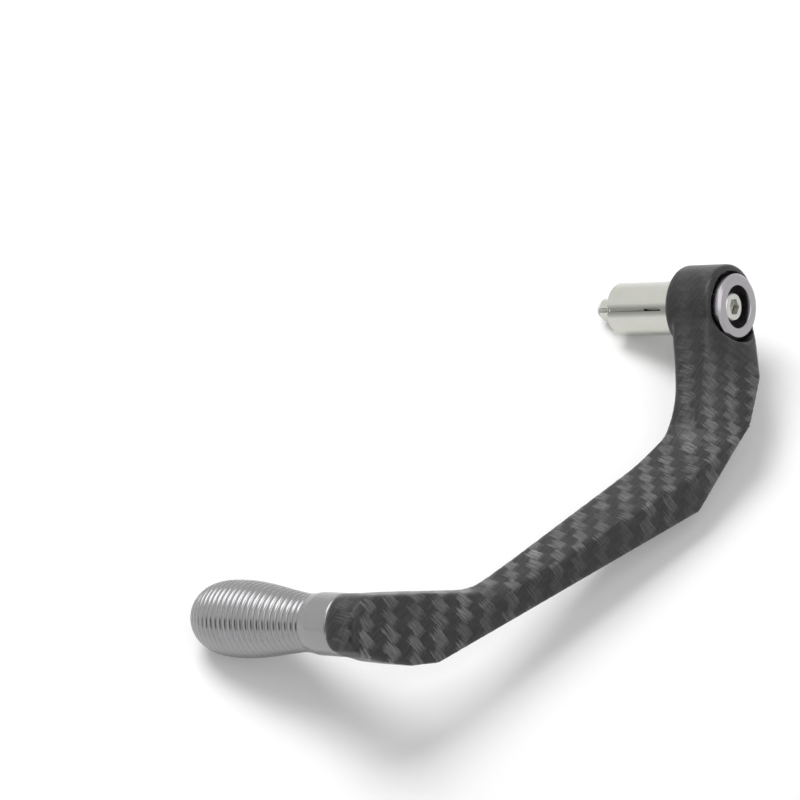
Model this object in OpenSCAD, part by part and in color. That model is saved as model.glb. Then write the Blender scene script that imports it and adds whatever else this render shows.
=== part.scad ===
// Brake lever guard for a motorbike handlebar end.
// X runs along the handlebar, outwards. The arm reaches forward along -Y, and +Z is up.
// The origin is on the handlebar axis, at the inboard face of the arm's bar boss.

/* [Reach] */
// Distance from the bar axis forward to the knob axis
reach = 160; // [150:1:175]
// Distance of the knob seat inboard of the bar boss
knob_inset = 21; // [17:0.5:26]
// Angle by which the arm's outer side runs inwards from the shoulder to the elbow, in degrees
shoulder_sweep = 11; // [9:0.1:13]
// Angle by which the arm's outer side runs inwards from the elbow to the knob, in degrees
sweep = 16.2; // [14:0.1:18]
// Depth of the elbow, the arm's lowest corner, below the bar axis
elbow_drop = 35.3; // [31:0.1:38]
// Distance of the elbow forward of the bar axis
elbow_reach = 56; // [52:1:62]
// Depth of the knee, the lower corner near the knob
knee_drop = 20.2; // [18:0.1:23]
// Distance of the knee back from the knob axis
knee_back = 10.5; // [8:0.5:13]

/* [Arm section] */
// How far the brow, the arm's first corner past the boss, stands out past the bar boss
brow_flare = 9.4; // [7:0.1:12]
// Distance of the brow forward of the bar axis
brow_reach = 11; // [9:0.5:13]
// How far the shoulder stands out past the bar boss
flare = 12.6; // [10:0.1:16]
// Distance of the shoulder forward of the bar axis
shoulder_reach = 27.5; // [25:0.5:31]
// Depth of the shoulder below the bar axis
shoulder_drop = 24.8; // [22:0.1:27]
// Height of the arm at the elbow
elbow_height = 15.8; // [13:0.1:18]
// Height of the arm at the thin end of its straight run
run_height = 12; // [10:0.1:14]
// Width of the arm at the elbow
elbow_width = 18.2; // [15:0.1:20]
// Width of the arm at the thin end of its straight run
run_width = 10.7; // [8.5:0.1:12]
// Radius along the edges of the arm
edge_round = 1.8; // [0.8:0.1:2.4]

/* [Bar boss] */
// Outer diameter of the bar boss
boss_d = 25.8; // [23:0.1:28]
// Width of the bar boss along the bar
boss_w = 16; // [14:0.5:20]
// Radius round the rims of the bar boss
boss_round = 1.4; // [0.8:0.1:2.5]

/* [Knob seat] */
// Diameter of the round seat that the knob stands on
seat_d = 17.6; // [15:0.1:19]
// Height of the arm's end over the knob axis
nose_height = 10; // [9:0.1:11.5]
// Length of the arm's end forward of the knob axis
nose_reach = 10.6; // [9.5:0.1:12]

/* [End ring] */
// Outer diameter of the end ring
ring_d = 20; // [18:0.1:22]
// Diameter of the hole in the end ring
ring_hole_d = 12.8; // [11:0.1:14]
// Thickness of the end ring
ring_w = 5.2; // [4:0.1:7]
// How far the end ring stands out of the bar boss
ring_proud = 2.5; // [1.5:0.1:3.5]
// Bevel round the face of the end ring
ring_bevel = 0.7; // [0.3:0.1:1]
// Thickness of the black washer under the end ring
washer_w = 1; // [0.5:0.1:1.5]
// How much wider than the end ring the washer is
washer_over = 1.2; // [0.4:0.1:1.6]
// Radial clearance round the washer in its pocket
pocket_gap = 0.1; // [0.05:0.05:0.3]

/* [Clamp screw] */
// Shank diameter of the clamp screw
screw_d = 5; // [4:0.5:6]
// Head diameter of the clamp screw
head_d = 8.6; // [8:0.1:10]
// Head height of the clamp screw
head_h = 3.5; // [3:0.1:4.5]
// Width of the hexagon socket across its flats
socket_af = 4.5; // [3:0.5:5]
// Depth of the hexagon socket
socket_depth = 2.2; // [1.5:0.1:2.6]
// Length of the screw end that shows past the wedge nut
tip_show = 1.6; // [1:0.1:4]
// Thread pitch of the clamp screw
thread_pitch = 0.8; // [0.7:0.1:1]

/* [Expander sleeve] */
// Outer diameter of the expander sleeve
sleeve_d = 16.4; // [14.5:0.1:18]
// Length of the expander sleeve
sleeve_len = 25; // [22:0.5:32]
// Number of slits along the expander sleeve
slits = 3; // [3:1:4]
// Width of each slit
slit_w = 0.8; // [0.5:0.1:1.2]
// Length of the closed end of the sleeve, beside the bar boss
slit_start = 5; // [4:0.5:8]
// Radius of the round-bottomed flute along each slit
flute_r = 6; // [3:0.5:9]
// Depth of each flute
flute_depth = 0.7; // [0.4:0.05:0.8]
// Diameter of the sleeve's taper at its open end
taper_mouth_d = 13.2; // [12.4:0.1:13.6]
// Half angle of the taper, in degrees
taper_angle = 7.6; // [6:0.1:9]

/* [Wedge nut] */
// Length of the tapered body of the wedge nut
wedge_len = 12; // [10:0.5:15]
// Turns of the screw from the slack wedge to the tight one
clamp_turns = 2; // [1:0.5:2.5]
// Diameter of the notched tail of the wedge nut
tail_d = 7; // [6.6:0.1:9]
// Length of the notched tail
tail_len = 5.8; // [3:0.1:7]
// Width of the notches in the tail
notch_w = 1.3; // [0.8:0.1:1.8]

/* [Knob] */
// Length of the knob
knob_len = 55; // [52:0.5:66]
// Diameter of the plain collar at the knob's foot
collar_d = 17.6; // [16:0.1:19]
// Length of the plain collar
collar_len = 8.2; // [6:0.1:10]
// Diameter of the neck
neck_d = 16.4; // [14:0.1:17]
// Distance from the knob's foot to its neck
neck_at = 14; // [12:0.5:16]
// Diameter of the bulge
bulge_d = 22.2; // [19:0.1:24]
// Distance from the knob's foot to its bulge
bulge_at = 38; // [35:0.5:43]
// Distance from one rib of the knob to the next
rib_pitch = 1.86; // [1.5:0.02:2.4]
// Depth of the grooves between the ribs
rib_depth = 0.45; // [0.2:0.05:0.6]
// Diameter of the stud that holds the knob
stud_d = 6; // [5:0.5:7]
// Length of the stud inside the arm
stud_in_arm = 9; // [7:0.5:10]
// Length of the stud inside the knob
stud_in_knob = 14; // [10:0.5:20]

/* [Clearances] */
// Gap between the knob and its seat
knob_gap = 0.3; // [0.1:0.05:0.5]
// Radial clearance of a running fit
run_gap = 0.08; // [0.03:0.01:0.1]
// Radial clearance of the stud in its holes
stud_gap = 0.03; // [0.01:0.01:0.05]
// Gap between flat faces that turn on each other
face_gap = 0.06; // [0.03:0.01:0.2]
// Radial clearance left round the wedge when it is tight
tight_gap = 0.1; // [0.05:0.01:0.2]

/* [Hidden] */
$fn = 96;
eps = 0.01;

// Colours
carbon_color = "#3b3b3e";
rubber_color = "#141414";
ring_color = "#8d8f94";
nickel_color = "#c9c8c2";
knob_color = "#8a8c90";

// Levels along the bar, outwards from the inboard face of the boss
boss_r = boss_d / 2;
ring_face_x = boss_w + ring_proud;
ring_back_x = ring_face_x - ring_w;
pocket_x = ring_back_x - washer_w;
head_back_x = ring_back_x + face_gap;
sleeve_mouth_x = -face_gap - sleeve_len;
wedge_end_x = sleeve_mouth_x - face_gap;
tail_end_x = wedge_end_x - tail_len;
screw_tip_x = tail_end_x - tip_show;
washer_r = (ring_d + washer_over) / 2;
pocket_r = washer_r + pocket_gap;

// Wedge nut and taper
clamp_travel = clamp_turns * thread_pitch;
slack_gap = tight_gap + clamp_travel * tan(taper_angle);
taper_mouth_r = taper_mouth_d / 2;
wedge_big_r = taper_mouth_r - slack_gap;
wedge_small_r = wedge_big_r - wedge_len * tan(taper_angle);
taper_len = wedge_len + clamp_travel + 1;
taper_foot_r = taper_mouth_r - taper_len * tan(taper_angle);

// Knob
collar_r = collar_d / 2;
neck_r = neck_d / 2;
bulge_r = bulge_d / 2;
collar_bevel = 0.8;
collar_step = 0.5;
dome_power = 2.7;
dome_len = knob_len - bulge_at;
rib_from = collar_len + 3;
plain_tip = 1.6;
tip_flat = 0.6;
rib_count = floor((knob_len - plain_tip - rib_from) / rib_pitch);
ribs_end = rib_from + rib_count * rib_pitch;
rib_land = 0.7;

function mix(a, b, t) = a + (b - a) * t;

// Outer side of the arm in plan: a flare out of the bar boss to the brow, then straight lines
// to the shoulder, the elbow and the nose
flare_from = -7;
flare_root_x = boss_w - 0.5;
flare_power = 0.8;
brow_x = boss_w + brow_flare;
shoulder_x = boss_w + flare;
elbow_x = shoulder_x - (elbow_reach - shoulder_reach) * tan(shoulder_sweep);
function flare_share(f) = pow(max(0, f - flare_from) / (brow_reach - flare_from), flare_power);
function side_x(f) = f < brow_reach ? mix(flare_root_x, brow_x, flare_share(f))
    : f < shoulder_reach ? mix(brow_x, shoulder_x, (f - brow_reach) / (shoulder_reach - brow_reach))
    : f < elbow_reach ? shoulder_x - (f - shoulder_reach) * tan(shoulder_sweep)
    : elbow_x - (f - elbow_reach) * tan(sweep);

// Named places along the arm, measured forward of the bar axis
elbow_top = -elbow_drop + elbow_height;
knee_reach = reach - knee_back;
run_end = knee_reach - 30;
run_low = mix(-elbow_drop, -knee_drop, (run_end + 2 - elbow_reach) / (knee_reach - elbow_reach));
function low_at(f) = mix(-elbow_drop, -knee_drop, (f - elbow_reach) / (knee_reach - elbow_reach));
run_top = low_at(run_end) + run_height;
function run_top_at(f) = mix(elbow_top, run_top, (f - elbow_reach + 4) / (run_end - elbow_reach + 4));
elbow_in = side_x(elbow_reach) - elbow_width;
run_in = side_x(run_end) - run_width;
function run_in_at(f) = mix(elbow_in, run_in, (f - elbow_reach) / (run_end - elbow_reach));
nose = reach + nose_reach;
seat_x = -knob_inset;
brow_low = -18.6;
saddle_top = -6.2;

// A section of the arm as five corners: top inboard edge, crease, outer edge, lower outer edge
// and lower inboard edge. top and low are [forward, up]; cross is how far across the top
// the crease lies, fall is how far it drops, and facet is where the outer edge comes down the side.
function section(top, low, in_x, cross, fall, facet) =
    let (f = mix(top[0], low[0], facet))
    [[in_x, -top[0], top[1]],
     [mix(in_x, side_x(top[0]), cross), -top[0], top[1] - fall],
     [side_x(f), -f, mix(top[1], low[1], facet)],
     [side_x(low[0]), -low[0], low[1]],
     [in_x + 0.5, -low[0], low[1]]];

// The sections, from inside the bar boss to the nose in front of the knob seat
sections = [
    section([-2, 8], [-6, -10], 1, 0.82, 0, 0.9),
    section([7, 8], [0.5, 0.3 - boss_r], 1.6, 0.617, 0, 0.92),
    section([brow_reach + 4, 1], [brow_reach - 0.5, brow_low], 2.8, 0.547, -0.8, 0.94),
    section([brow_reach + 11, saddle_top], [brow_reach + 7, mix(brow_low, -shoulder_drop, 0.45)],
            4.8, 0.489, -0.6, 0.96),
    section([shoulder_reach + 2.5, mix(saddle_top, elbow_top, 0.5)], [shoulder_reach, -shoulder_drop],
            boss_w - 9.2, 0.408, 0, 0.97),
    section([shoulder_reach + 12, elbow_top + 1.5],
            [shoulder_reach + 12, mix(-shoulder_drop, -elbow_drop, 0.42)], boss_w - 9, 0.42, 1.5, 0.62),
    section([elbow_reach - 4, elbow_top], [elbow_reach, -elbow_drop], elbow_in, 0.5, 2.1, 0.31),
    section([elbow_reach + 10, run_top_at(elbow_reach + 10)], [elbow_reach + 12, low_at(elbow_reach + 12)],
            run_in_at(elbow_reach + 10), 0.5, 2, 0.31),
    section([elbow_reach + 24, run_top_at(elbow_reach + 24)], [elbow_reach + 26, low_at(elbow_reach + 26)],
            run_in_at(elbow_reach + 24), 0.5, 2, 0.31),
    section([run_end - 4, run_top_at(run_end - 4)], [run_end, low_at(run_end)],
            run_in_at(run_end - 4), 0.5, 1.4, 0.29),
    section([run_end + 7, run_top + 1.9], [run_end + 11, low_at(run_end + 11)],
            run_in_at(run_end + 7), 0.62, 1.3, 0.34),
    section([run_end + 16, run_top + 7.5], [knee_reach - 9, low_at(knee_reach - 9)],
            run_in_at(run_end + 16) - 1, 0.69, 0.9, 0.5),
    section([reach - 15.3, 0.6], [knee_reach, -knee_drop], mix(run_in, seat_x, 0.6), 0.78, 0.3, 0.5),
    section([reach - 7.5, 5.6], [reach - 3, -nose_height - 5.6], seat_x + 0.7, 0.83, 0, 0.5),
    section([reach - 0.5, nose_height], [reach + 3.6, -nose_height + 0.4], seat_x, 0.83, 0, 0.5),
    section([reach + 6, nose_height - 2], [reach + 8.2, -nose_height + 5.6], seat_x, 0.85, 0, 0.5),
    section([nose - 0.6, 3.2], [nose, -0.8], seat_x + 0.4, 0.85, 0, 0.5)
];

// A smooth curve through b, between its neighbours a and c
function spline(a, b, c, d, t) =
    b + (c - a) * (t / 2) + (2 * a - 5 * b + 4 * c - d) * (t * t / 2)
      + (3 * b - a - 3 * c + d) * (t * t * t / 2);

// The top edge and the crease run smoothly through the sections, the other three edges run straight
smooth_edges = 2;
steps = 4;
last = len(sections) - 1;
function edge_point(i, t, c) =
    let (b = sections[i][c], n = sections[min(last, i + 1)][c])
    c >= smooth_edges ? mix(b, n, t)
                      : spline(sections[max(0, i - 1)][c], b, n, sections[min(last, i + 2)][c], t);

// Rounds one corner of a ring of points between its two neighbours
bend_points = 4;
corner_share = [1.1, 0.8, 0.8, 0.7, 1.4];
function bend(p, q, r, radius) =
    let (a = q + (p - q) * min(0.45, radius / norm(p - q)),
         c = q + (r - q) * min(0.45, radius / norm(r - q)))
    [for (k = [0 : bend_points]) let (t = k / bend_points)
        a * ((1 - t) * (1 - t)) + q * (2 * t * (1 - t)) + c * (t * t)];

function ring(corners) = let (n = len(corners))
    [for (c = [0 : n - 1])
        each bend(corners[(c + n - 1) % n], corners[c], corners[(c + 1) % n], edge_round * corner_share[c])];

rings = [for (i = [0 : last - 1], s = [0 : steps - 1])
            ring([for (c = [0 : 4]) edge_point(i, s / steps, c)]),
         ring(sections[last])];

function middle(points) = [for (k = [0 : 2]) let (v = [for (p = points) p[k]]) (min(v) + max(v)) / 2];

module arm_body() {
    m = len(rings[0]);
    n = len(rings);
    points = [for (r = rings) each r, middle(rings[0]), middle(rings[n - 1])];
    sides = [for (i = [0 : n - 2], k = [0 : m - 1]) let (a = i * m + k, b = i * m + (k + 1) % m)
                each [[a, b, a + m], [b, b + m, a + m]]];
    first = [for (k = [0 : m - 1]) [n * m, (k + 1) % m, k]];
    end = [for (k = [0 : m - 1]) [n * m + 1, (n - 1) * m + k, (n - 1) * m + (k + 1) % m]];
    polyhedron(points, concat(sides, first, end), convexity = 6);
}

// Turns a drawing made along +Z so that it runs outwards along +X
module along_bar() rotate([0, 90, 0]) children();

// Turns a drawing made along +Z so that it runs inwards from the knob seat
module along_knob() translate([0, -reach, 0]) rotate([0, -90, 0]) children();

// Quarter-round rim of a turned piece, from angle a to angle b about the centre c
rim_points = 6;
function rim(c, r, a, b) = [for (k = [0 : rim_points]) let (g = mix(a, b, k / rim_points))
    [c[0] + r * cos(g), c[1] + r * sin(g)]];

module bar_boss() along_bar() rotate_extrude()
    polygon(concat([[0, 0]], rim([boss_r - boss_round, boss_round], boss_round, -90, 0),
                   rim([boss_r - boss_round, boss_w - boss_round], boss_round, 0, 90), [[0, boss_w]]));

seat_block = 8;
module knob_seat() along_knob() translate([0, 0, knob_inset - seat_block])
    cylinder(d = seat_d, h = seat_block);

module guard_arm() color(carbon_color) difference() {
    union() {
        arm_body();
        bar_boss();
        knob_seat();
    }
    along_bar() translate([0, 0, pocket_x]) cylinder(r = pocket_r, h = ring_w + flare);
    along_bar() translate([0, 0, -1]) cylinder(r = screw_d / 2 + run_gap, h = boss_w);
    along_knob() translate([0, 0, knob_inset - stud_in_arm])
        cylinder(r = stud_d / 2 + stud_gap, h = stud_in_arm + 1);
}

module seat_washer() color(rubber_color) along_bar() translate([0, 0, pocket_x]) difference() {
    cylinder(r = washer_r, h = washer_w);
    translate([0, 0, -1]) cylinder(r = screw_d / 2 + run_gap, h = washer_w + 2);
}

module end_ring() color(ring_color) along_bar() translate([0, 0, ring_back_x]) rotate_extrude()
    polygon([[ring_hole_d / 2, 0], [ring_d / 2, 0], [ring_d / 2, ring_w - ring_bevel],
             [ring_d / 2 - ring_bevel, ring_w], [ring_hole_d / 2 + ring_bevel, ring_w],
             [ring_hole_d / 2, ring_w - ring_bevel]]);

head_bevel = 0.4;
module clamp_screw() color(nickel_color) along_bar() difference() {
    union() {
        translate([0, 0, screw_tip_x]) cylinder(d = screw_d, h = head_back_x + 1 - screw_tip_x);
        translate([0, 0, head_back_x]) cylinder(d = head_d, h = head_h - head_bevel);
        translate([0, 0, head_back_x + head_h - head_bevel])
            cylinder(d1 = head_d, d2 = head_d - 2 * head_bevel, h = head_bevel);
    }
    translate([0, 0, head_back_x + head_h - socket_depth])
        cylinder(d = socket_af / cos(30), h = socket_depth + 1, $fn = 6);
}

sleeve_bevel = 0.5;
module expander_sleeve() color(nickel_color) along_bar() difference() {
    translate([0, 0, sleeve_mouth_x]) union() {
        cylinder(d1 = sleeve_d - 2 * sleeve_bevel, d2 = sleeve_d, h = sleeve_bevel);
        translate([0, 0, sleeve_bevel]) cylinder(d = sleeve_d, h = sleeve_len - sleeve_bevel);
    }
    translate([0, 0, sleeve_mouth_x - 1]) cylinder(r = screw_d / 2 + slack_gap, h = sleeve_len + 2);
    translate([0, 0, sleeve_mouth_x]) cylinder(r1 = taper_mouth_r, r2 = taper_foot_r, h = taper_len);
    translate([0, 0, sleeve_mouth_x - 1]) cylinder(r = taper_mouth_r, h = 1 + eps);
    for (k = [0 : slits - 1]) rotate(k * 360 / slits) translate([0, 0, sleeve_mouth_x - 1]) {
        translate([0, -slit_w / 2, 0]) cube([sleeve_d, slit_w, sleeve_len - slit_start + 1]);
        translate([sleeve_d / 2 - flute_depth + flute_r, 0, 0]) cylinder(r = flute_r, h = sleeve_len + 2);
    }
}

notch_root = 0.5;
module wedge_nut() color(nickel_color) along_bar() difference() {
    union() {
        translate([0, 0, wedge_end_x]) cylinder(r1 = wedge_big_r, r2 = wedge_small_r, h = wedge_len);
        translate([0, 0, tail_end_x]) cylinder(d = tail_d, h = tail_len + 1);
    }
    translate([0, 0, tail_end_x - 1]) cylinder(r = screw_d / 2 + run_gap, h = tail_len + wedge_len + 2);
    for (k = [0 : slits - 1]) rotate(k * 360 / slits) translate([0, -notch_w / 2, tail_end_x - 1])
        cube([tail_d, notch_w, tail_len - notch_root + 1]);
}

// Radius of the knob at a distance from its foot, before the ribs are cut
function knob_r(t) = t < neck_at
    ? mix(collar_r - collar_step, neck_r, sin(90 * (t - collar_len) / (neck_at - collar_len)))
    : t < bulge_at ? mix(neck_r, bulge_r, sin(90 * pow((t - neck_at) / (bulge_at - neck_at), 1.25)))
    : bulge_r * pow(max(0, 1 - pow((t - bulge_at) / dome_len, dome_power)), 1 / dome_power);

knob_profile = concat(
    [[0, 0], [collar_r - collar_bevel, 0], [collar_r, collar_bevel], [collar_r, collar_len - collar_step],
     [collar_r - collar_step, collar_len]],
    [for (k = [0 : rib_count - 1])
        let (t = rib_from + k * rib_pitch, a = t + rib_pitch * (1 - rib_land) / 2,
             b = a + rib_pitch * rib_land)
        each [[knob_r(t) - rib_depth, t], [knob_r(a), a], [knob_r(b), b]]],
    [[knob_r(ribs_end) - rib_depth, ribs_end], [knob_r(knob_len - tip_flat), knob_len - tip_flat],
     [0, knob_len]]);

module end_knob() color(knob_color) translate([-knob_gap, 0, 0]) along_knob() translate([0, 0, knob_inset])
    difference() {
        rotate_extrude() polygon(knob_profile);
        translate([0, 0, -1]) cylinder(r = stud_d / 2 + stud_gap, h = stud_in_knob + 1);
    }

module knob_stud() color(nickel_color) along_knob() translate([0, 0, knob_inset - stud_in_arm])
    cylinder(d = stud_d, h = stud_in_arm + knob_gap + stud_in_knob);

guard_arm();
seat_washer();
end_ring();
clamp_screw();
expander_sleeve();
wedge_nut();
end_knob();
knob_stud();
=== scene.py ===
"""Looks of the brake lever guard: skin, ribs, thread, materials, floor, light and camera."""

import math

import bmesh
import bpy
import numpy as np
from mathutils import Matrix, Vector


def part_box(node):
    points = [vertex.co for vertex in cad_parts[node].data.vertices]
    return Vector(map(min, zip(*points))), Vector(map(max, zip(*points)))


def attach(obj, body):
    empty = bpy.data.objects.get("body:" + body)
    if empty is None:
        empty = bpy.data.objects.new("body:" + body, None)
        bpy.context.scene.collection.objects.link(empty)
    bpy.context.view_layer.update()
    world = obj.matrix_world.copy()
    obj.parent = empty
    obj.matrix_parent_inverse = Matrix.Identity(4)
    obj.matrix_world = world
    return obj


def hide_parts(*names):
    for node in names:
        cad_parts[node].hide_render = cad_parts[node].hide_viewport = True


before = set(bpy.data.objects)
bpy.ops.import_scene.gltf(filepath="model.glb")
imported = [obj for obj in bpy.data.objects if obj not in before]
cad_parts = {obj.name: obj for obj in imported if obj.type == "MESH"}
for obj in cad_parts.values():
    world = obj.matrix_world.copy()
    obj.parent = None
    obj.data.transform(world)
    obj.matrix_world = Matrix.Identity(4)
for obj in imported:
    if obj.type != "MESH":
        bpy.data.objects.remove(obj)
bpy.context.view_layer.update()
MM = 0.001

# Points nearer than this are one, and a ring of a smaller radius is a point
WELD = 0.001 * MM
NO_RADIUS = 0.0001 * MM

# Camera, as the photograph was taken
VIEW_CENTRE = Vector((-58.64, -70.11, 13.92)) * MM
VIEW_AZIMUTH = 45.81
VIEW_ELEVATION = 25.23
VIEW_ROLL = -23.78
VIEW_DISTANCE = 0.930
VIEW_LIMIT = 10
LENS = 139.87
SENSOR_WIDTH = 36

# The surface that the guard lies on: its elbow, its knob and its sleeve touch it
FLOOR_NORMAL = Vector((0.4805, -0.1463, 0.8647)).normalized()
FLOOR_RADIUS = 1.2
FLOOR_GAP = 0.2 * MM
FLOOR_COLOUR = 0.8
FLOOR_GLOW = 0.19

# The world's strength as light on the guard, and as it is seen
WORLD_LIGHT = 0.3
WORLD_SEEN = 1.0

# Where the key light stands, in the camera's own axes: right, up and towards the camera
KEY_DIRECTION = (-0.35, 0.9, 0.45)

# The flat film of the print, by the directions across it and up it
FILM_ACROSS = Vector((0.761, 0.536, -0.365))
FILM_RISE = Vector((-0.283, 0.781, 0.557))

# The light floats of the print, in millimetres: the height of one, the distance between their
# columns and the share of it that they fill, and the lean of their fibres in degrees
FLOAT_STEP = 4.2
FLOAT_SPACING = 6.7
FLOAT_SHARE = 0.47
FIBRE_LEAN = 37

# The arm's skin: how finely it is made, and the spots that are smoothed most, each a centre and
# a radius in millimetres
SKIN_VOXEL = 0.5 * MM
SKIN_ROUNDS = 3
SPOT_ROUNDS = 40
SADDLE_SPOTS = [((12.5, -42, -18), 7)]
NOSE_SPOTS = [((-13, -158, 6), 9), ((-12, -163, -4), 9), ((-6, -150, 0), 8)]

# The shoulder of the arm, where a painted sheen makes the print's floats brightest, in millimetres
SHOULDER = np.array((11, -30, -11))
SHOULDER_REACH = 13

# Along the knob from its foot, in millimetres
COLLAR_RADIUS = 8.8
COLLAR_END = 8.2
COLLAR_BEVEL = 0.8
FOOT_RADIUS = 7.2
NECK_RADIUS = 8.2
NECK_AT = 14.0
BULGE_AT = 38.0
RIB_FROM = 11.3
RIB_PITCH = 1.86
RIB_DEPTH = 0.42

# Sizes that the frame gives
ring_low, ring_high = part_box("end_ring")
knob_low, knob_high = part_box("end_knob")
screw_low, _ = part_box("clamp_screw")
sleeve_low, sleeve_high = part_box("expander_sleeve")
RING_WIDTH = ring_high.x - ring_low.x
RING_RADIUS = ring_high.z
KNOB_FOOT = Vector((knob_high.x, (knob_low.y + knob_high.y) / 2, 0))
KNOB_LENGTH = (knob_high.x - knob_low.x) / MM
BULGE_RADIUS = knob_high.z / MM
SLEEVE_RADIUS = sleeve_high.z / MM
SLEEVE_END = sleeve_low.x / MM


# Node trees and materials


class Nodes:
    """A node tree, with short ways to add nodes. A value is a constant or another node's socket."""

    def __init__(self, tree):
        self.tree = tree

    def feed(self, socket, value):
        if isinstance(value, bpy.types.NodeSocket):
            self.tree.links.new(value, socket)
        else:
            socket.default_value = value

    def fill(self, node, **inputs):
        """Feeds a node's inputs by their names, with _ for a space."""
        for key, value in inputs.items():
            self.feed(node.inputs[key.replace("_", " ")], value)
        return node

    def add(self, kind, settings=None, **inputs):
        node = self.tree.nodes.new(kind)
        for key, value in (settings or {}).items():
            setattr(node, key, value)
        return self.fill(node, **inputs)

    def join(self, kind, *values, **settings):
        """A node whose first inputs are fed in their order."""
        node = self.add(kind, settings)
        for socket, value in zip(node.inputs, values):
            self.feed(socket, value)
        return node

    def math(self, operation, *values):
        return self.join("ShaderNodeMath", *values, operation=operation).outputs[0]

    def chain(self, operation, values):
        """The result of one operation over all values, from the first to the last."""
        result = values[0]
        for value in values[1:]:
            result = self.math(operation, result, value)
        return result

    def plus(self, *values):
        return self.chain("ADD", values)

    def times(self, *values):
        return self.chain("MULTIPLY", values)

    def minus(self, a, b):
        return self.math("SUBTRACT", a, b)

    def within(self, value, low, high):
        return self.math("MINIMUM", self.math("MAXIMUM", value, low), high)

    def line(self, value, slope, start):
        """The value times the slope, and start added."""
        return self.plus(self.times(value, slope), start)

    def swing(self, noise, width, middle=0.0):
        """A noise, which lies about 0.5, made wider and laid about a middle."""
        return self.line(self.minus(noise, 0.5), width, middle)

    def vector(self, operation, *values):
        return self.join("ShaderNodeVectorMath", *values, operation=operation)

    def scaled(self, vector, scale):
        """A vector with each part multiplied."""
        return self.vector("MULTIPLY", vector, scale).outputs["Vector"]

    def dot(self, vector, other):
        return self.vector("DOT_PRODUCT", vector, other).outputs["Value"]

    def pair(self, x, y):
        """A vector of two values."""
        return self.add("ShaderNodeCombineXYZ", X=x, Y=y).outputs[0]

    def noise(self, vector, scale, detail=2.0):
        return self.add("ShaderNodeTexNoise", Vector=vector, Scale=scale, Detail=detail).outputs[0]

    def blend(self, factor, a, b):
        """A colour between a and b."""
        node = self.add("ShaderNodeMix", {"data_type": "RGBA"})
        for socket, value in ((0, factor), (6, a), (7, b)):
            self.feed(node.inputs[socket], value)
        return node.outputs[2]

    def bump(self, height, strength, distance):
        node = self.add("ShaderNodeBump", Height=height, Strength=strength, Distance=distance)
        return node.outputs[0]

    def seen(self):
        """1 for a ray from the camera, a mirror or glass, and 0 for light on the guard."""
        rays = self.add("ShaderNodeLightPath").outputs
        mirrored = self.math("MAXIMUM", rays["Is Glossy Ray"], rays["Is Transmission Ray"])
        return self.math("MAXIMUM", rays["Is Camera Ray"], mirrored)


class Shade(Nodes):
    """A material with its main shader."""

    def __init__(self, name):
        self.material = bpy.data.materials.new(name)
        self.material.use_nodes = True
        super().__init__(self.material.node_tree)
        self.shader = self.tree.nodes["Principled BSDF"]

    def place(self):
        return self.add("ShaderNodeTexCoord").outputs["Object"]

    def set(self, **inputs):
        self.fill(self.shader, **inputs)

    def show(self, node):
        """Shows another shader in the main one's place."""
        self.fill(self.tree.nodes["Material Output"], Surface=node.outputs[0])


def grey(level):
    return (level, level, level, 1)


def tint(level, warm):
    """A metal's grey, yellower as warm rises."""
    return (level, level * (1 + 0.04 * warm), level * (1 - warm), 1)


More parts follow.
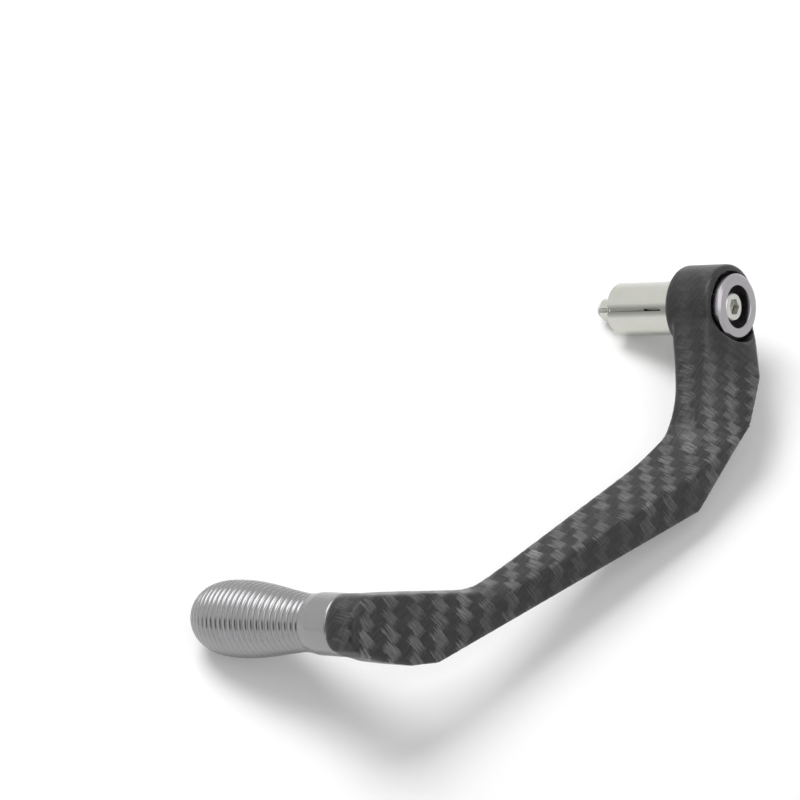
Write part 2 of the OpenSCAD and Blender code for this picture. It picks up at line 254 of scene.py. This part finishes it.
def carbon_print():
    """Dark woven print under gloss lacquer, laid on as one flat film from above and outboard.

    The mesh's fading attribute is 1 where the print fades most. It also holds painted shade on
    the side towards the bar and, below 0, a painted sheen on the shoulder.
    """
    s = Shade("carbon_print")
    plain = s.add("ShaderNodeAttribute", {"attribute_name": "plain"}).outputs["Fac"]
    place = s.place()

    # Millimetres on the film, a little swayed as it stretched over the form
    sway = s.swing(s.noise(place, scale=70.0, detail=1.0), width=2.4)
    level_mm = s.plus(s.dot(place, FILM_ACROSS / MM), sway)
    rise_mm = s.plus(s.dot(place, FILM_RISE / MM), s.times(sway, 0.7))

    # Along and across the fibres, which run down and outward
    lean = math.radians(FIBRE_LEAN)
    cosine, sine = math.cos(lean), math.sin(lean)
    along = s.minus(s.times(level_mm, cosine), s.times(rise_mm, sine))
    across = s.plus(s.times(level_mm, sine), s.times(rise_mm, cosine))

    def streaks(along_rate, across_rate):
        return s.noise(s.pair(s.times(along, along_rate), s.times(across, across_rate)), scale=1.0)

    fibre = streaks(along_rate=0.22, across_rate=2.3)
    cross_fibre = streaks(along_rate=1.9, across_rate=0.25)

    # The light floats stand in columns, and each row of them is moved along by its lean
    ragged = s.swing(s.noise(place, scale=900.0), width=0.9)
    rows = s.math("DIVIDE", s.plus(across, ragged), FLOAT_STEP * cosine)
    row = s.math("FLOOR", rows)
    moved = s.plus(along, s.times(row, FLOAT_STEP * sine))
    columns = s.math("DIVIDE", moved, FLOAT_SPACING / cosine)
    column = s.math("FLOOR", columns)

    # Each float fades at its ends and its edges
    jagged = s.plus(s.math("FRACT", columns), s.swing(fibre, width=0.5))
    from_middle = s.math("ABSOLUTE", s.minus(jagged, 0.5))
    ends = s.within(s.times(s.minus(FLOAT_SHARE / 2 + 0.05, from_middle), 8.0), 0.0, 1.0)
    arch = s.math("SINE", s.times(s.math("FRACT", rows), math.pi))
    edges = s.math("MINIMUM", s.line(arch, slope=1.6, start=0.55), 1.0)

    # It has its own level and its fibres, and fades from region to region and by the mesh's fading
    # attribute, which holds painted shade on the side towards the bar and a painted sheen on the
    # shoulder
    tow = s.add("ShaderNodeTexWhiteNoise", {"noise_dimensions": "2D"}, Vector=s.pair(row, column))
    own = s.line(tow.outputs["Value"], slope=0.5, start=0.6)
    hatch = s.math("MAXIMUM", s.swing(fibre, width=3.4, middle=0.75), 0.2)
    region = s.swing(s.noise(place, scale=50.0, detail=1.0), width=2.2, middle=0.8)
    clear = s.times(s.within(region, 0.45, 1.25), s.minus(1.0, s.times(plain, 0.85)))
    light = s.times(s.times(ends, edges), s.times(own, hatch, clear))

    # The dark ground has faint streaks across and soft clouds
    cloud = s.times(s.noise(place, scale=220.0, detail=3.0), 0.014)
    streak = s.math("MAXIMUM", s.swing(cross_fibre, width=0.07, middle=0.009), 0.0)
    level = s.plus(s.times(light, 0.1), s.plus(streak, cloud))
    # The ground darkens where the fading attribute is above 0, and on the side towards the bar this
    # is painted shade
    darker = s.times(s.math("MAXIMUM", plain, 0.0), 0.35)
    level = s.times(level, s.minus(1.0, darker))

    colour = s.add("ShaderNodeCombineColor", Red=level, Green=level, Blue=s.times(level, 1.02))
    relief = s.plus(s.noise(place, scale=260.0, detail=3.0), s.times(light, 0.5))
    s.set(Base_Color=colour.outputs[0],
          Roughness=s.line(s.noise(place, scale=900.0), slope=0.1, start=0.4),
          Specular_IOR_Level=s.line(light, slope=0.35, start=0.3),
          Coat_Weight=0.28, Coat_Roughness=0.1,
          Normal=s.bump(relief, strength=0.12, distance=0.2 * MM))
    return s.material


def turned_metal(name, level, warm, rough, fine, strength, flute_shade=0.0):
    """Metal turned on a lathe, with faint tool rings about the X axis.

    Fine is the scale of the rings along the axis, strength is how deep they look, and the last
    argument is how much painted shade darkens the sleeve's milled flutes, a dark reflection
    painted into their recess.
    """
    s = Shade(name)
    place = s.place()
    round_about = fine * 0.02
    rings = s.noise(s.scaled(place, (fine, round_about, round_about)), scale=1.0, detail=3.0)
    stain = s.noise(place, scale=160.0)
    colour = s.blend(stain, tint(level * 0.88, warm), tint(level, warm))
    # Painted shade: the flutes, recessed below the sleeve's outer radius, are darkened in place of
    # a dark reflection
    if flute_shade:
        radius = s.vector("LENGTH", s.scaled(place, (0, 1 / MM, 1 / MM))).outputs["Value"]
        depth = s.within(s.times(s.minus(SLEEVE_RADIUS, radius), 1.6), 0.0, 1.0)
        on_sleeve = s.math("GREATER_THAN", s.dot(place, (1 / MM, 0, 0)), SLEEVE_END + 0.3)
        colour = s.blend(s.times(depth, on_sleeve), colour, tint(level * (1 - flute_shade), warm))
    s.set(Base_Color=colour, Metallic=1.0,
          Roughness=s.line(rings, slope=rough * 0.6, start=rough * 0.7),
          Normal=s.bump(rings, strength, distance=0.06 * MM))
    return s.material


def face_metal(name, level, rough):
    """Fine-blasted grey metal, with a grain of small specks."""
    s = Shade(name)
    grain = s.noise(s.place(), scale=3800.0)
    dark = (level * 0.72, level * 0.69, level * 0.73, 1)
    light = (level, level * 0.96, level * 1.01, 1)
    s.set(Base_Color=s.blend(grain, dark, light), Metallic=1.0,
          Roughness=s.line(grain, slope=0.2, start=rough),
          Normal=s.bump(grain, strength=0.25, distance=0.04 * MM))
    return s.material


def black_rubber():
    s = Shade("black_rubber")
    dust = s.noise(s.place(), scale=1800.0, detail=3.0)
    s.set(Base_Color=s.blend(dust, grey(0.008), grey(0.022)),
          Roughness=s.line(dust, slope=0.2, start=0.4),
          Normal=s.bump(dust, strength=0.15, distance=0.05 * MM))
    return s.material


# Mesh helpers


def made(bm, name):
    """The mesh that a bmesh holds, which is then freed."""
    mesh = bpy.data.meshes.new(name)
    bm.to_mesh(mesh)
    bm.free()
    return mesh


def in_scene(name, data):
    """A new object in the scene."""
    thing = bpy.data.objects.new(name, data)
    bpy.context.scene.collection.objects.link(thing)
    return thing


def stand_in(name, mesh, material, body, node):
    """Puts a mesh in the scene as the piece that stands for a node."""
    piece = in_scene(name, mesh)
    mesh.materials.clear()
    mesh.materials.append(material)
    for face in mesh.polygons:
        face.use_smooth = True
    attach(piece, body)
    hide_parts(node)


def applied(mesh, modifiers):
    """The mesh with modifiers run on it, each a kind and its settings."""
    carrier = in_scene("carrier", mesh)
    for kind, settings in modifiers:
        modifier = carrier.modifiers.new(kind, kind)
        for key, value in settings.items():
            setattr(modifier, key, value)
    graph = bpy.context.evaluated_depsgraph_get()
    result = bpy.data.meshes.new_from_object(carrier.evaluated_get(graph))
    bpy.data.objects.remove(carrier)
    return result


def node_copy(node):
    """A welded copy of a node's mesh."""
    bm = bmesh.new()
    bm.from_mesh(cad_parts[node].data)
    bmesh.ops.remove_doubles(bm, verts=bm.verts, dist=WELD)
    return made(bm, node)


def bevelled(node, width):
    """A copy of a node's mesh with its sharp edges softened."""
    sharp = math.radians(40)
    return applied(node_copy(node), [
        ("BEVEL", {"width": width, "segments": 2, "limit_method": "ANGLE", "angle_limit": sharp}),
        ("WEIGHTED_NORMAL", {"keep_sharp": True}),
    ])


def circle(centre, radius, sides):
    """Points about the X axis through centre, or the centre alone where there is no radius."""
    turns = [2 * math.pi * k / sides for k in range(sides if radius > NO_RADIUS else 1)]
    return [(centre.x, centre.y + radius * math.cos(turn), centre.z + radius * math.sin(turn))
            for turn in turns]


def lathe(profile, centre, direction, segments=128):
    """Turns a closed profile of (radius, distance) points about the X axis through centre."""
    bm = bmesh.new()
    rows = []
    for radius, distance in profile:
        middle = Vector((centre.x + direction * distance, centre.y, centre.z))
        rows.append([bm.verts.new(point) for point in circle(middle, radius, segments)])
    for a, b in zip(rows, rows[1:] + rows[:1]):
        if len(a) == 1 and len(b) == 1:
            continue
        for k in range(segments):
            n = (k + 1) % segments
            ring = [a[k % len(a)], a[n % len(a)], b[n % len(b)], b[k % len(b)]]
            bm.faces.new(list(dict.fromkeys(ring)))
    bmesh.ops.recalc_face_normals(bm, faces=bm.faces)
    return made(bm, "lathe")


def rounded(points, radius, steps=4):
    """A closed outline with each corner cut to an arc of about the given radius."""
    out = []
    for i, corner in enumerate(points):
        q = Vector(corner)
        p, r = Vector(points[i - 1]), Vector(points[(i + 1) % len(points)])
        reach = min(radius, 0.45 * (p - q).length, 0.45 * (r - q).length)
        a = q + (p - q).normalized() * reach
        c = q + (r - q).normalized() * reach
        for t in np.linspace(0, 1, steps + 1):
            out.append(tuple(a * (1 - t) ** 2 + q * 2 * t * (1 - t) + c * t ** 2))
    return out


# The arm


def ramp(values, low, high):
    """Rises smoothly from 0 to 1 between low and high."""
    t = np.clip((values - low) / (high - low), 0, 1)
    return t * t * (3 - 2 * t)


def vertex_rows(mesh, name):
    """What each vertex has under a name, such as co or normal, as rows of three."""
    values = np.zeros(len(mesh.vertices) * 3, np.float32)
    mesh.vertices.foreach_get(name, values)
    return values.reshape(-1, 3)


def soften(mesh, spots, rounds):
    """Smooths the skin round each spot, and less towards the spot's radius."""
    points = vertex_rows(mesh, "co")
    share = np.zeros(len(points))
    for centre, radius in spots:
        away = np.linalg.norm(points / MM - np.array(centre), axis=1)
        share = np.maximum(share, 1 - ramp(away, 0.5 * radius, radius))
    edges = np.zeros(len(mesh.edges) * 2, np.int32)
    mesh.edges.foreach_get("vertices", edges)
    edges = edges.reshape(-1, 2)
    edges = edges[(share[edges] > 0).any(axis=1)]
    used, where = np.unique(edges, return_inverse=True)
    a, b = where.reshape(-1, 2).T

    def gathered(at_a=None, at_b=None):
        """For each vertex, the sum over its edges of a value at each edge's other end."""
        return np.bincount(a, at_b, len(used)) + np.bincount(b, at_a, len(used))

    part = points[used].astype(float)
    pull = 0.5 * share[used][:, None]
    count = gathered()[:, None]
    for _ in range(rounds):
        total = np.stack([gathered(part[a, k], part[b, k]) for k in range(3)], 1)
        part += (total / count - part) * pull
    points[used] = part
    mesh.vertices.foreach_set("co", points.ravel())
    mesh.update()


def fade_and_painted_light_at(points, normals):
    """How much the print's light floats fade and its ground darkens at each point in millimetres,
    where 1 is most.

    They fade on the outboard side of the straight run, round the boss and at the nose's end. On
    the side towards the bar the same fading is painted shade, and on the shoulder a painted
    sheen makes the floats brighter.
    """
    forward = -points[:, 1]
    outboard = normals[:, 0]
    film_side = normals @ np.array(FILM_ACROSS)
    from_bar_axis = np.hypot(points[:, 1], points[:, 2])
    run = ramp(forward, 40, 56) * (1 - ramp(forward, 112, 134))
    run_side = run * ramp(outboard, 0.75, 0.93)
    bar_side = (1 - ramp(film_side, -0.3, 0.02)) * (1 - ramp(forward, 36, 50))
    boss = 1 - ramp(from_bar_axis, 13, 27)
    nose_end = (1 - ramp(points[:, 0], -13.5, -9.5)) * ramp(forward, 143, 150)
    # Where the floats fade and the ground darkens, and on the side towards the bar this is painted
    # shade
    faint = np.maximum.reduce([0.5 * run_side, 0.75 * nose_end, 0.6 * bar_side, boss])
    from_shoulder = np.linalg.norm(points - SHOULDER, axis=1)
    # A painted sheen on the shoulder: below 0, the print's floats are made brighter there
    return faint - 0.6 * np.exp(-(from_shoulder / SHOULDER_REACH) ** 2)


def make_arm():
    """The arm's skin: the CAD form with its edges and blends softened, as moulded and lacquered."""
    mesh = applied(node_copy("guard_arm"), [
        ("REMESH", {"mode": "VOXEL", "voxel_size": SKIN_VOXEL, "use_smooth_shade": True}),
        ("SMOOTH", {"factor": 0.5, "iterations": SKIN_ROUNDS}),
    ])
    soften(mesh, SADDLE_SPOTS, SPOT_ROUNDS)
    soften(mesh, NOSE_SPOTS, SPOT_ROUNDS)
    # The fading attribute per point, with painted shade on the side towards the bar and a painted
    # sheen on the shoulder
    plain = fade_and_painted_light_at(vertex_rows(mesh, "co") / MM, vertex_rows(mesh, "normal"))
    attribute = mesh.attributes.new("plain", "FLOAT", "POINT")
    attribute.data.foreach_set("value", plain.astype(np.float32))
    stand_in("arm_skin", mesh, carbon_print(), "arm", "guard_arm")


# The knob


def knob_radius(t):
    """Radius of the knob at a distance from its foot, in millimetres, before the ribs are cut."""
    quarter = math.pi / 2
    if t < COLLAR_END:
        return COLLAR_RADIUS
    if t < NECK_AT:
        down = math.sin(quarter * (t - COLLAR_END) / (NECK_AT - COLLAR_END))
        return COLLAR_RADIUS + (NECK_RADIUS - COLLAR_RADIUS) * down
    if t < BULGE_AT:
        up = math.sin(quarter * ((t - NECK_AT) / (BULGE_AT - NECK_AT)) ** 1.25)
        return NECK_RADIUS + (BULGE_RADIUS - NECK_RADIUS) * up
    power = 2.7
    past = (t - BULGE_AT) / (KNOB_LENGTH - BULGE_AT)
    return BULGE_RADIUS * max(0.0, 1 - past ** power) ** (1 / power)


def make_knob():
    bevel_points, collar_points, rib_points, dome_points = 5, 26, 10, 16
    collar_from, room_for_ribs, room_for_dome, room_for_tip = 1.4, 0.3, 0.2, 1.6
    ridge_power = 0.75
    ribs = int((KNOB_LENGTH - room_for_tip - RIB_FROM) / RIB_PITCH)
    rib_end = RIB_FROM + ribs * RIB_PITCH
    outline = [(0, 0), (FOOT_RADIUS, 0), (COLLAR_RADIUS - COLLAR_BEVEL, 0)]
    for a in np.linspace(0.15, math.pi / 2, bevel_points):
        outline.append((COLLAR_RADIUS - COLLAR_BEVEL * (1 - math.sin(a)),
                        COLLAR_BEVEL * (1 - math.cos(a))))
    for t in np.linspace(collar_from, RIB_FROM - room_for_ribs, collar_points):
        outline.append((knob_radius(t), t))
    for phase in (k / rib_points for k in range(ribs * rib_points + 1)):
        t = RIB_FROM + phase * RIB_PITCH
        ridge = abs(math.sin(math.pi * phase)) ** ridge_power
        outline.append((knob_radius(t) - RIB_DEPTH * (1 - ridge), t))
    dome = KNOB_LENGTH - rib_end - room_for_dome
    for a in np.linspace(1, 0.02, dome_points):
        t = KNOB_LENGTH - dome * a * a
        outline.append((knob_radius(t), t))
    tip = outline[-1][0]
    outline += [(tip * a, KNOB_LENGTH) for a in (0.7, 0.4, 0.1, 0.0)]
    mesh = lathe([(r * MM, t * MM) for r, t in outline], KNOB_FOOT, -1)
    metal = turned_metal("grey_anodised", level=0.32, warm=-0.015, rough=0.2, fine=2600.0,
                         strength=0.06)
    stand_in("ribbed_knob", mesh, metal, "arm", "end_knob")


# Pieces at the bar end


def make_ring():
    hole, bevel, lip, edge = 6.4 * MM, 0.8 * MM, 0.25 * MM, 0.12 * MM
    outline = [(hole, 0), (RING_RADIUS, 0),
               (RING_RADIUS, RING_WIDTH - bevel), (RING_RADIUS - bevel, RING_WIDTH),
               (hole + lip, RING_WIDTH), (hole, RING_WIDTH - lip)]
    mesh = lathe(rounded(outline, edge), Vector((ring_low.x, 0, 0)), 1, segments=160)
    metal = face_metal("ring_chrome", level=0.43, rough=0.14)
    stand_in("turned_ring", mesh, metal, "arm", "end_ring")


def threaded_screw():
    """The clamp screw with a real thread over the end that the wedge nut rides on."""
    length, radius, pitch, depth = 24 * MM, 2.5 * MM, 0.8 * MM, 0.42 * MM
    sides, rows_per_turn = 40, 10
    steep = 2.6
    overlap = 0.5 * MM
    tip_share, tip_lead, tip_length = 0.82, 0.25 * MM, 0.9 * MM
    bm = bmesh.new()
    bm.from_mesh(bevelled("clamp_screw", 0.12 * MM))
    bmesh.ops.bisect_plane(bm, geom=bm.verts[:] + bm.edges[:] + bm.faces[:],
                           plane_co=(screw_low.x + length - overlap, 0, 0), plane_no=(1, 0, 0),
                           clear_inner=True)
    rows = []
    for k in range(int(length / pitch * rows_per_turn) + 1):
        along = k * pitch / rows_per_turn
        tip = min(1.0, (along + tip_lead) / tip_length)
        row = []
        for n in range(sides):
            turn = 2 * math.pi * n / sides
            phase = (along / pitch - n / sides) % 1.0
            crest = min(1.0, steep * min(phase, 1 - phase))
            r = (radius - depth * (1 - crest)) * (tip_share + (1 - tip_share) * tip)
            row.append(bm.verts.new((screw_low.x + along, r * math.cos(turn), r * math.sin(turn))))
        rows.append(row)
    for a, b in zip(rows, rows[1:]):
        for n in range(sides):
            bm.faces.new((a[n], a[(n + 1) % sides], b[(n + 1) % sides], b[n]))
    bm.faces.new(rows[0])
    bmesh.ops.recalc_face_normals(bm, faces=bm.faces)
    return made(bm, "threaded_screw")


def make_bar_pieces():
    bright = turned_metal("bright_nickel", level=0.6, warm=0.08, rough=0.16, fine=1500.0,
                          strength=0.05, flute_shade=0.55)
    steel = turned_metal("bright_steel", level=0.58, warm=0.05, rough=0.18, fine=1200.0,
                         strength=0.06)
    sleeve = bevelled("expander_sleeve", 0.15 * MM)
    stand_in("split_sleeve", sleeve, bright, "plug", "expander_sleeve")
    wedge = bevelled("wedge_nut", 0.12 * MM)
    stand_in("notched_wedge", wedge, bright, "wedge", "wedge_nut")
    stand_in("socket_screw", threaded_screw(), steel, "screw", "clamp_screw")
    for node, material in (("seat_washer", black_rubber()), ("knob_stud", steel)):
        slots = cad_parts[node].data.materials
        slots.clear()
        slots.append(material)


# Floor, light and camera


def laid_along(normal):
    """The rotation that lays Z along a normal."""
    return normal.to_track_quat("Z", "Y").to_matrix().to_4x4()


def camera_turn():
    """The camera's axes as a rotation: right, up and back."""
    angles = (VIEW_AZIMUTH, VIEW_ELEVATION, VIEW_ROLL)
    azimuth, elevation, roll = (math.radians(angle) for angle in angles)
    back = Vector((math.cos(elevation) * math.sin(azimuth),
                   -math.cos(elevation) * math.cos(azimuth), math.sin(elevation)))
    level = Vector((math.cos(azimuth), math.sin(azimuth), 0))
    right = level * math.cos(roll) + back.cross(level) * math.sin(roll)
    return Matrix((right, back.cross(right), back)).transposed()


def facing(direction, distance):
    """A place that faces the view's centre, from a direction in the camera's own axes."""
    away = (camera_turn() @ Vector(direction)).normalized()
    return Matrix.Translation(VIEW_CENTRE + away * distance) @ laid_along(away)


def make_floor():
    """A white floor that keeps the guard's shadow, and is clear from below."""
    s = Shade("floor_white")
    diffuse = s.add("ShaderNodeBsdfDiffuse", Color=grey(FLOOR_COLOUR))
    glow = s.add("ShaderNodeEmission", Color=grey(1.0), Strength=s.times(s.seen(), FLOOR_GLOW))
    lit = s.join("ShaderNodeAddShader", diffuse.outputs[0], glow.outputs[0])
    clear = s.add("ShaderNodeBsdfTransparent")
    under = s.add("ShaderNodeNewGeometry").outputs["Backfacing"]
    s.show(s.join("ShaderNodeMixShader", under, lit.outputs[0], clear.outputs[0]))
    bm = bmesh.new()
    bmesh.ops.create_circle(bm, cap_ends=True, segments=96, radius=FLOOR_RADIUS)
    floor = in_scene("floor", made(bm, "floor"))
    floor.data.materials.append(s.material)
    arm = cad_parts["guard_arm"].data
    level = min(v.co.dot(FLOOR_NORMAL) for v in arm.vertices) - FLOOR_GAP
    middle = VIEW_CENTRE + FLOOR_NORMAL * (level - VIEW_CENTRE.dot(FLOOR_NORMAL))
    floor.matrix_world = Matrix.Translation(middle) @ laid_along(FLOOR_NORMAL)


def make_world():
    """White where it is seen, and an even level as light."""
    world = bpy.data.worlds.new("world")
    bpy.context.scene.world = world
    world.use_nodes = True
    s = Nodes(world.node_tree)
    strength = s.add("ShaderNodeMapRange", Value=s.seen(), To_Min=WORLD_LIGHT, To_Max=WORLD_SEEN)
    s.fill(s.tree.nodes["Background"], Color=grey(1.0), Strength=strength.outputs[0])


def make_camera():
    turn = camera_turn()
    camera = in_scene("camera", bpy.data.cameras.new("camera"))
    camera.data.lens = LENS
    camera.data.sensor_width = SENSOR_WIDTH
    camera.data.clip_end = VIEW_LIMIT
    place = VIEW_CENTRE + turn @ Vector((0, 0, VIEW_DISTANCE))
    camera.matrix_world = Matrix.Translation(place) @ turn.to_4x4()
    bpy.context.scene.camera = camera


def make_light(name, direction, distance, size, power):
    """A square soft light."""
    light = in_scene(name, bpy.data.lights.new(name, "AREA"))
    light.data.shape = "SQUARE"
    light.data.size = size
    light.data.energy = power
    light.matrix_world = facing(direction, distance)
    return light


def make_card(name, direction, distance, width, height, level):
    """A grey screen that only mirrored rays meet."""
    s = Shade(name)
    s.show(s.add("ShaderNodeEmission", Color=grey(level), Strength=1.0))
    bm = bmesh.new()
    bmesh.ops.create_grid(bm, x_segments=1, y_segments=1, size=0.5)
    card = in_scene(name, made(bm, name))
    card.data.materials.append(s.material)
    card.matrix_world = facing(direction, distance) @ Matrix.Diagonal((width, height, 1, 1))
    card.visible_camera = False
    card.visible_diffuse = False
    card.visible_shadow = False
    card.visible_transmission = False


def make_lights():
    """Two lamps, and the cards that metal mirrors.

    A card stands in for the key light in the mirrors, so that the knob's ridges don't clip.
    """
    key = make_light("key", KEY_DIRECTION, distance=1.1, size=0.6, power=10.5)
    key.visible_glossy = False
    make_card("key_card", KEY_DIRECTION, distance=1.1, width=0.8, height=0.8, level=3.3)
    make_light("fill", (0.3, 0.33, 0.9), distance=1.3, size=1.1, power=3.4)
    make_card("near_card", (-0.5, -0.25, 0.83), distance=0.7, width=0.3, height=0.3, level=0.04)
    make_card("behind_card", (-0.75, -0.15, -0.64), distance=0.7, width=0.3, height=0.25,
              level=0.25)


make_arm()
make_knob()
make_ring()
make_bar_pieces()
make_floor()
make_world()
make_camera()
make_lights()

view = bpy.context.scene.view_settings
view.view_transform = "Standard"
